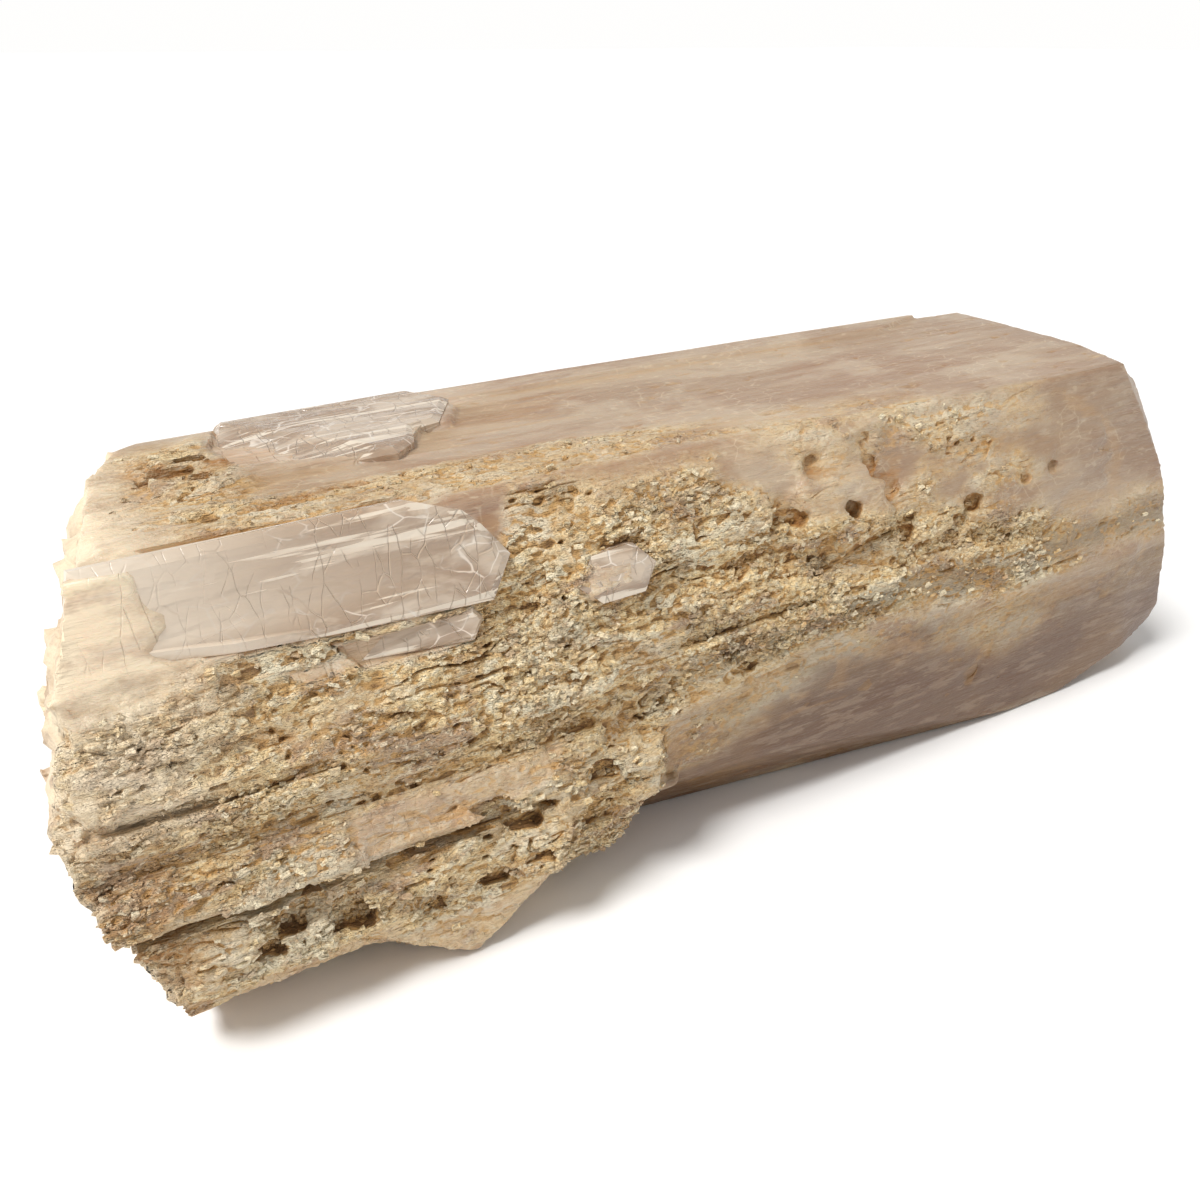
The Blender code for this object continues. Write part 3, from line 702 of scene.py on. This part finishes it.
def clear_slab(name, outline, on_top, level, thickness, rim, dive=1.5):
    """A bevelled slab over an outline, its face at the given level above the prism's face, all in mm."""
    if on_top:
        out = Vector((0, 0, 1))
        base = [Vector((across, up, HEIGHT)) for across, up in outline]
    else:
        out = FRONT_OUT
        base = [Vector((across, 0, EDGE_RISE)) + FRONT_UP * ((up - EDGE_RISE) / FRONT_UP.z)
                for across, up in outline]
    mesh = bpy.data.meshes.new(name)
    corners = [to_row(point + out * (level - thickness)) for point in base]
    mesh.from_pydata(corners, [], [tuple(range(len(corners)))])
    slab = bpy.data.objects.new(name, mesh)
    bpy.context.scene.collection.objects.link(slab)
    if mesh.polygons[0].normal.dot(out) < 0:
        mesh.flip_normals()
    bpy.ops.object.select_all(action="DESELECT")
    slab.select_set(True)
    bpy.context.view_layer.objects.active = slab
    bpy.ops.object.mode_set(mode="EDIT")
    bpy.ops.mesh.select_mode(type="FACE")
    bpy.ops.mesh.select_all(action="SELECT")
    rise = out * (thickness - RIM_DROP) * MM
    bpy.ops.mesh.extrude_region_move(TRANSFORM_OT_translate={"value": rise})
    bpy.ops.mesh.inset(thickness=rim * MM, depth=RIM_DROP * MM)
    bpy.ops.object.mode_set(mode="OBJECT")
    places = to_crystal(read_points(slab))
    sink = dive * step(places[:, 0], outline_start(outline) + DIVE_LENGTH, outline_start(outline))
    places -= sink[:, None] * np.array(out)
    write_points(slab, (places + ORIGIN) * MM)
    # The left ends of the front slabs are marked pale too, which makes them milkier and whiter, partly as a
    # painted highlight.
    store(slab, "pale_and_highlight", 0.95 * step(places[:, 0], 18.0, 2.0) * (not on_top))
    return slab


def outline_start(outline):
    """Where an outline begins along the prism."""
    return min(across for across, _ in outline)


slabs = [
    clear_slab("long_clear_blade", LONG_BLADE, False, 1.55, 1.5, 0.75, dive=1.0),
    clear_slab("short_clear_blade", SHORT_BLADE, False, 1.2, 1.3, 0.40),
    clear_slab("top_clear_lobe", TOP_LOBE, True, 1.0, 1.2, 0.70),
    clear_slab("knob", KNOB, False, 1.9, 2.0, 1.1, dive=0.0),
]
print("slabs:", [slab.name for slab in slabs])

# %% [markdown]
# ## The finish
# Danburite is colourless to pale pink, and this piece is milky, so light enters it and scatters. Both
# materials are built from procedural noise on Object coordinates and from the values stored on the points.
# A small class keeps their nodes short to write.

# %% Shader helpers
def colour(red, green, blue):
    """An sRGB colour from 0 to 255 as linear numbers."""
    linear = []
    for part in (red, green, blue):
        share = part / 255
        linear.append(share / 12.92 if share <= 0.04045 else ((share + 0.055) / 1.055) ** 2.4)
    return (*linear, 1.0)


class Graph:
    """A short way to write a material's nodes."""

    def __init__(self, name):
        self.material = bpy.data.materials.new(name)
        self.material.use_nodes = True
        self.nodes = self.material.node_tree.nodes
        self.links = self.material.node_tree.links
        self.shader = self.nodes["Principled BSDF"]
        self.place = self.nodes.new("ShaderNodeTexCoord").outputs["Object"]

    def feed(self, socket, value):
        """Link a socket to another, or set it to a constant."""
        if isinstance(value, bpy.types.NodeSocket):
            self.links.new(value, socket)
        else:
            socket.default_value = value

    def stored(self, name):
        """A value kept on the points."""
        node = self.nodes.new("ShaderNodeAttribute")
        node.attribute_name = name
        return node.outputs["Fac"]

    def stretched(self, scale):
        """Object coordinates, scaled along each axis."""
        node = self.nodes.new("ShaderNodeMapping")
        node.inputs["Scale"].default_value = scale
        self.feed(node.inputs["Vector"], self.place)
        return node.outputs["Vector"]

    def clouds(self, scale, stretch=(1, 1, 1), detail=3.0, rough=0.55, twist=0.0):
        """Soft noise from 0 to 1, drawn out where the stretch is small."""
        node = self.nodes.new("ShaderNodeTexNoise")
        node.inputs["Scale"].default_value = scale
        node.inputs["Detail"].default_value = detail
        node.inputs["Roughness"].default_value = rough
        node.inputs["Distortion"].default_value = twist
        self.feed(node.inputs["Vector"], self.stretched(stretch))
        return node.outputs["Fac"]

    def cracks(self, scale, stretch=(1, 1, 1), warp=0.0):
        """Distance from a net of crack lines; warp bends the lines by about so many metres."""
        bend = self.nodes.new("ShaderNodeTexNoise")
        bend.inputs["Scale"].default_value = 0.45 * scale
        self.feed(bend.inputs["Vector"], self.place)
        centred = self.nodes.new("ShaderNodeVectorMath")
        centred.operation = "SUBTRACT"
        centred.inputs[1].default_value = (0.5, 0.5, 0.5)
        self.feed(centred.inputs[0], bend.outputs["Color"])
        moved = self.nodes.new("ShaderNodeVectorMath")
        moved.operation = "MULTIPLY_ADD"
        moved.inputs[1].default_value = (warp, warp, warp)
        self.feed(moved.inputs[0], centred.outputs[0])
        self.feed(moved.inputs[2], self.place)
        stretched = self.nodes.new("ShaderNodeMapping")
        stretched.inputs["Scale"].default_value = stretch
        self.feed(stretched.inputs["Vector"], moved.outputs[0])
        node = self.nodes.new("ShaderNodeTexVoronoi")
        node.feature = "DISTANCE_TO_EDGE"
        node.inputs["Scale"].default_value = scale
        self.feed(node.inputs["Vector"], stretched.outputs["Vector"])
        return node.outputs["Distance"]

    def span(self, value, low, high, first=0.0, last=1.0):
        """Map a value from one range to another, held at its ends."""
        node = self.nodes.new("ShaderNodeMapRange")
        node.interpolation_type = "SMOOTHSTEP"
        self.feed(node.inputs["Value"], value)
        for name, number in (("From Min", low), ("From Max", high), ("To Min", first), ("To Max", last)):
            node.inputs[name].default_value = number
        return node.outputs["Result"]

    def math(self, operation, first, second=0.0):
        """One step of arithmetic."""
        node = self.nodes.new("ShaderNodeMath")
        node.operation = operation
        self.feed(node.inputs[0], first)
        self.feed(node.inputs[1], second)
        return node.outputs["Value"]

    def blend(self, share, first, second):
        """One colour into another by a share from 0 to 1."""
        node = self.nodes.new("ShaderNodeMix")
        node.data_type = "RGBA"
        self.feed(node.inputs["Factor"], share)
        self.feed(node.inputs["A"], first)
        self.feed(node.inputs["B"], second)
        return node.outputs["Result"]

    def bump(self, height, distance, strength=1.0, normal=None):
        """Fine relief on top of another normal."""
        node = self.nodes.new("ShaderNodeBump")
        node.inputs["Distance"].default_value = distance
        node.inputs["Strength"].default_value = strength
        self.feed(node.inputs["Height"], height)
        if normal is not None:
            self.links.new(normal, node.inputs["Normal"])
        return node.outputs["Normal"]


print("shader helpers ready")

# %% [markdown]
# ## Milky crystal and crust
# The shader starts from pink crystal with white clouds, covers it with cream crust where the mask says so,
# and lays ochre, brown and rust into the hollows. Crystal is smoother and lets light in, and crust is dull.

# %% The danburite finish
TAN_PINK = colour(167, 139, 113)
ROSE = colour(158, 122, 96)
MILK = colour(193, 172, 147)
# These two browns hold the lower face's own darker tone and painted shade on top of it.
LOW_BROWN_AND_SHADE = colour(106, 70, 22)
LOW_UMBER_AND_SHADE = colour(90, 54, 15)
CREAM = colour(246, 218, 165)
IVORY = colour(253, 240, 208)
GREY_CRYSTAL = colour(196, 165, 132)
OCHRE = colour(206, 158, 90)
BROWN = colour(126, 88, 46)
DIRT = colour(198, 146, 78)
RUST = colour(166, 110, 40)
SEAM_GREY = colour(124, 104, 76)
ICE = colour(214, 188, 164)
CRACK_BROWN = colour(164, 136, 106)
# This white serves the veins and also the blades' painted glints.
VEIN_AND_GLINT_WHITE = colour(236, 226, 214)
# This pale cream is partly paler crystal and partly a painted highlight.
PALE_CREAM_AND_HIGHLIGHT = colour(248, 229, 198)


def danburite():
    """Milky pink crystal under cream crust, with dirt and rust in its hollows, painted shade on the lower
    face and a painted highlight at the pale left end.
    """
    g = Graph("danburite")
    crust, clear = g.stored("crust"), g.stored("clear")
    fine, wide = g.stored("fine_hollow"), g.stored("wide_hollow")

    # Crystal: pink depths with milky clouds drawn out along the prism
    milk = g.span(g.clouds(120, (0.45, 1, 1), 5.0, 0.62, 0.6), 0.42, 0.60)
    depth = g.span(g.clouds(55, (0.5, 1, 1), 2.0), 0.42, 0.66)
    streak = g.span(g.clouds(700, (0.05, 1, 1), 3.0), 0.48, 0.7)
    fleck = g.span(g.clouds(1500, (0.4, 1, 1), 2.0), 0.6, 0.72)
    body = g.blend(depth, TAN_PINK, ROSE)
    body = g.blend(g.math("MULTIPLY", milk, 0.8), body, MILK)
    body = g.blend(g.math("MULTIPLY", streak, 0.3), body, MILK)
    body = g.blend(g.math("MULTIPLY", fleck, 0.22), body, IVORY)
    split = g.span(g.cracks(650, (0.6, 1, 1), warp=0.0016), 0.0, 0.05, 1.0, 0.0)
    split = g.math("MULTIPLY", split, g.span(g.clouds(150), 0.50, 0.60))
    body = g.blend(g.math("MULTIPLY", split, 0.22), body, IVORY)
    # The lower face turns a darker brown, partly its own browner tone and partly painted shade; the far front
    # face gets a little of the same.
    low = g.stored("low")
    body = g.blend(g.math("MULTIPLY", low, 0.9), body, g.blend(g.span(g.clouds(70), 0.4, 0.6), LOW_BROWN_AND_SHADE, LOW_UMBER_AND_SHADE))
    fibres = g.span(g.clouds(1100, (0.2, 1, 1), 5.0, 0.7), 0.51, 0.60)
    body = g.blend(g.math("MULTIPLY", fibres, g.span(low, 0.0, 1.0, 0.25, 0.20)), body, MILK)

    # Clear blades: icy, with a net of thin brown cracks, long white veins and small painted glints
    crack = g.span(g.cracks(430, (1.5, 0.42, 0.42), warp=0.0016), 0.0, 0.045, 1.0, 0.0)
    crack = g.math("MULTIPLY", crack, g.span(g.clouds(380, detail=2.0), 0.42, 0.56))
    cross = g.span(g.cracks(500, (0.16, 0.8, 0.8), warp=0.0010), 0.0, 0.05, 1.0, 0.0)
    cross = g.math("MULTIPLY", cross, g.span(g.clouds(260, detail=2.0), 0.48, 0.6))
    vein_and_glint = g.span(g.clouds(800, (0.05, 1, 1), 2.0), 0.55, 0.66)
    # Glints are painted as white spots in the colour and join the veins.
    glint = g.span(g.clouds(620, (0.6, 1, 1), 3.0, 0.6, 1.5), 0.58, 0.68)
    vein_and_glint = g.math("MAXIMUM", vein_and_glint, glint)
    lines = g.math("MAXIMUM", crack, g.math("MULTIPLY", cross, 0.7))
    blade = g.blend(g.math("MULTIPLY", vein_and_glint, 0.6), ICE, VEIN_AND_GLINT_WHITE)
    blade = g.blend(g.math("MULTIPLY", lines, 0.6), blade, CRACK_BROWN)
    body = g.blend(g.math("MULTIPLY", clear, 0.8), body, blade)

    # Crust: patches of cream, ivory and grey crystal, with fine grains over them
    patchy = g.clouds(210, (0.45, 1, 1), 4.0, 0.6, 0.8)
    skin = g.blend(g.span(patchy, 0.36, 0.48), GREY_CRYSTAL, CREAM)
    skin = g.blend(g.math("MULTIPLY", g.span(patchy, 0.52, 0.62), 0.95), skin, IVORY)
    ochre = g.span(g.clouds(560, (0.5, 1, 1), 5.0, 0.7), 0.5, 0.62)
    grain = g.clouds(2300, (0.6, 1, 1), 3.0, 0.7)
    ochre = g.math("MULTIPLY", ochre, g.span(grain, 0.58, 0.46, 0.3, 1.0))
    skin = g.blend(g.math("MULTIPLY", ochre, g.span(patchy, 0.62, 0.48, 0.1, 0.55)), skin, OCHRE)
    # Ivory on the grain's high spots, where the bump also rises, is partly paler grain and partly a painted
    # highlight on the crests.
    skin = g.blend(g.math("MULTIPLY", g.span(grain, 0.53, 0.62), 0.7), skin, IVORY)
    skin = g.blend(g.math("MULTIPLY", g.span(grain, 0.46, 0.38), 0.45), skin, DIRT)
    cover = g.math("MULTIPLY", crust, g.span(g.clouds(300, (0.4, 1, 1), 4.0, 0.6), 0.30, 0.50, 0.5, 1.0))
    skin = g.blend(g.span(g.stored("tint"), 0.55, 1.0, 0.0, 0.75), skin, IVORY)
    skin = g.blend(g.span(g.stored("tint"), 0.45, 0.0, 0.0, 0.6), skin, GREY_CRYSTAL)
    speck = g.span(g.clouds(1900, (0.7, 1, 1), 2.0), 0.62, 0.70)
    speck = g.math("MULTIPLY", speck, g.span(patchy, 0.62, 0.42))
    skin = g.blend(g.math("MULTIPLY", speck, 0.8), skin, BROWN)
    body = g.blend(cover, body, skin)
    body = g.blend(g.math("MULTIPLY", g.stored("seam"), 0.62), body, SEAM_GREY)

    # Ochre dirt in hollows, turning a darker brown deeper down, and rust in patches
    sunk = g.math("ADD", g.math("MULTIPLY", fine, 0.6), wide)
    uneven = g.math("SUBTRACT", g.clouds(900, (0.5, 1, 1), 3.0), 0.5)
    sunk = g.math("ADD", sunk, g.math("MULTIPLY", uneven, 0.8))
    reach = g.span(crust, 0.05, 0.75, 0.2, 1.0)
    body = g.blend(g.math("MULTIPLY", g.math("MULTIPLY", g.span(sunk, 0.0, 0.5), reach), 0.85), body, OCHRE)
    body = g.blend(g.math("MULTIPLY", g.math("MULTIPLY", g.span(sunk, 0.55, 1.25), reach), 0.85), body, BROWN)
    stain = g.math("MULTIPLY", g.stored("rust"), g.span(g.clouds(420, (0.6, 1, 1), 4.0, 0.7), 0.40, 0.60))
    stain = g.math("MULTIPLY", stain, g.span(grain, 0.60, 0.46, 0.5, 1.0))
    body = g.blend(g.math("MULTIPLY", stain, 0.9), body, RUST)
    # Pale cream at the left end and the break is partly paler crystal and partly a painted highlight.
    rim = g.span(g.clouds(380, (0.5, 1, 1), 4.0, 0.7), 0.36, 0.56, 0.35, 0.9)
    rim = g.math("MULTIPLY", g.stored("pale_and_highlight"), rim)
    body = g.blend(rim, body, PALE_CREAM_AND_HIGHLIGHT)

    g.feed(g.shader.inputs["Base Color"], body)
    dull = g.math("MAXIMUM", cover, g.stored("broken"))
    g.feed(g.shader.inputs["Roughness"], g.span(dull, 0.0, 1.0, 0.36, 0.62))
    g.feed(g.shader.inputs["Subsurface Weight"], g.span(dull, 0.0, 0.7, 0.3, 0.0))
    g.shader.inputs["Subsurface Radius"].default_value = (1.0, 0.62, 0.45)
    g.shader.inputs["Subsurface Scale"].default_value = 0.002
    g.shader.inputs["IOR"].default_value = 1.63

    grit = g.math("MULTIPLY", grain, crust)
    fibre = g.math("MULTIPLY", g.clouds(1300, (0.15, 1, 1), 4.0, 0.7), g.span(crust, 0.0, 1.0, 0.3, 1.0))
    lengthwise = g.clouds(900, (0.05, 1, 1), 4.0, 0.65)
    normal = g.bump(grit, 0.0007, 1.0)
    normal = g.bump(fibre, 0.0008, 1.0, normal)
    normal = g.bump(lengthwise, 0.0003, 0.8, normal)
    normal = g.bump(g.math("MULTIPLY", lines, clear), -0.00010, 0.7, normal)
    g.feed(g.shader.inputs["Normal"], normal)
    return g.material


print("recipe for the milky finish ready")

# %% [markdown]
# ## See-through crystal
# The slabs are see-through by transmission, with danburite's IOR of 1.63 and a faint warm absorption inside.
# Milky veils, growth lines and cracks break the view through them, as in the real blades.

# %% The clear danburite finish
CLEAR_PINK = colour(226, 198, 170)
CLEAR_MILK = colour(244, 230, 210)
CRACK_WHITE = colour(252, 248, 240)
ABSORBED = (0.86, 0.68, 0.52, 1.0)
ABSORPTION = 20.0


def clear_danburite():
    """See-through crystal with milky veils, growth lines and cracks in it."""
    g = Graph("clear_danburite")
    veil = g.span(g.clouds(300, (0.35, 1, 1), 4.0, 0.6, 0.8), 0.36, 0.66)
    streak = g.span(g.clouds(1000, (0.05, 1, 1), 3.0), 0.54, 0.64)
    milky = g.math("MAXIMUM", g.math("MULTIPLY", veil, 0.6), streak)
    # The pale left ends turn milkier and whiter, partly as a painted highlight.
    milky = g.math("MAXIMUM", milky, g.stored("pale_and_highlight"))
    crack = g.span(g.cracks(520, (1.3, 0.5, 0.5), warp=0.0014), 0.0, 0.035, 1.0, 0.0)
    crack = g.math("MULTIPLY", crack, g.span(g.clouds(380, detail=2.0), 0.40, 0.54))
    white = g.span(g.cracks(640, (0.5, 0.8, 0.8), warp=0.0016), 0.0, 0.05, 1.0, 0.0)
    white = g.math("MULTIPLY", white, g.span(g.clouds(300, detail=2.0), 0.44, 0.58))
    body = g.blend(milky, CLEAR_PINK, CLEAR_MILK)
    near_end = g.span(g.stored("pale_and_highlight"), 0.0, 0.8, 1.0, 0.25)
    crack = g.math("MULTIPLY", crack, near_end)
    white = g.math("MULTIPLY", white, near_end)
    body = g.blend(g.math("MULTIPLY", crack, 0.28), body, CRACK_BROWN)
    body = g.blend(g.math("MULTIPLY", white, 0.45), body, CRACK_WHITE)
    g.feed(g.shader.inputs["Base Color"], body)
    g.feed(g.shader.inputs["Roughness"], g.span(milky, 0.0, 1.0, 0.14, 0.34))
    solid_share = g.math("MAXIMUM", g.math("MAXIMUM", milky, crack), white)
    g.feed(g.shader.inputs["Transmission Weight"], g.span(solid_share, 0.0, 1.0, 0.62, 0.18))
    g.shader.inputs["IOR"].default_value = 1.63
    facets = g.clouds(650, (0.35, 1, 1), 2.0, 0.5, 0.6)
    lengthwise = g.clouds(1100, (0.03, 1, 1), 3.0)
    normal = g.bump(facets, 0.00045, 0.7)
    normal = g.bump(lengthwise, 0.00016, 0.8, normal)
    normal = g.bump(crack, -0.00012, 0.8, normal)
    g.feed(g.shader.inputs["Normal"], normal)
    inside = g.nodes.new("ShaderNodeVolumeAbsorption")
    inside.inputs["Color"].default_value = ABSORBED
    inside.inputs["Density"].default_value = ABSORPTION
    g.links.new(inside.outputs["Volume"], g.nodes["Material Output"].inputs["Volume"])
    return g.material


print("recipe for the clear finish ready")

# %% [markdown]
# ## Dress the pieces
# The skin and the crumbs share the milky finish, and the slabs get the clear one. The skin is shaded smooth
# except at real edges. The skin replaces the solid, and every piece rides on the root body.

# %% Give each piece its finish and its place
SMOOTH_BELOW = math.radians(38)

finish = danburite()
crystal.data.materials.append(finish)
crumbs.data.materials.append(finish)
clear_finish = clear_danburite()
for slab in slabs:
    slab.data.materials.append(clear_finish)
bpy.ops.object.select_all(action="DESELECT")
crystal.select_set(True)
bpy.context.view_layer.objects.active = crystal
bpy.ops.object.shade_smooth_by_angle(angle=SMOOTH_BELOW)
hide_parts(NODE)
for piece in (crystal, crumbs, *slabs):
    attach(piece, "root")
print("finish:", crystal.data.materials[0].name)
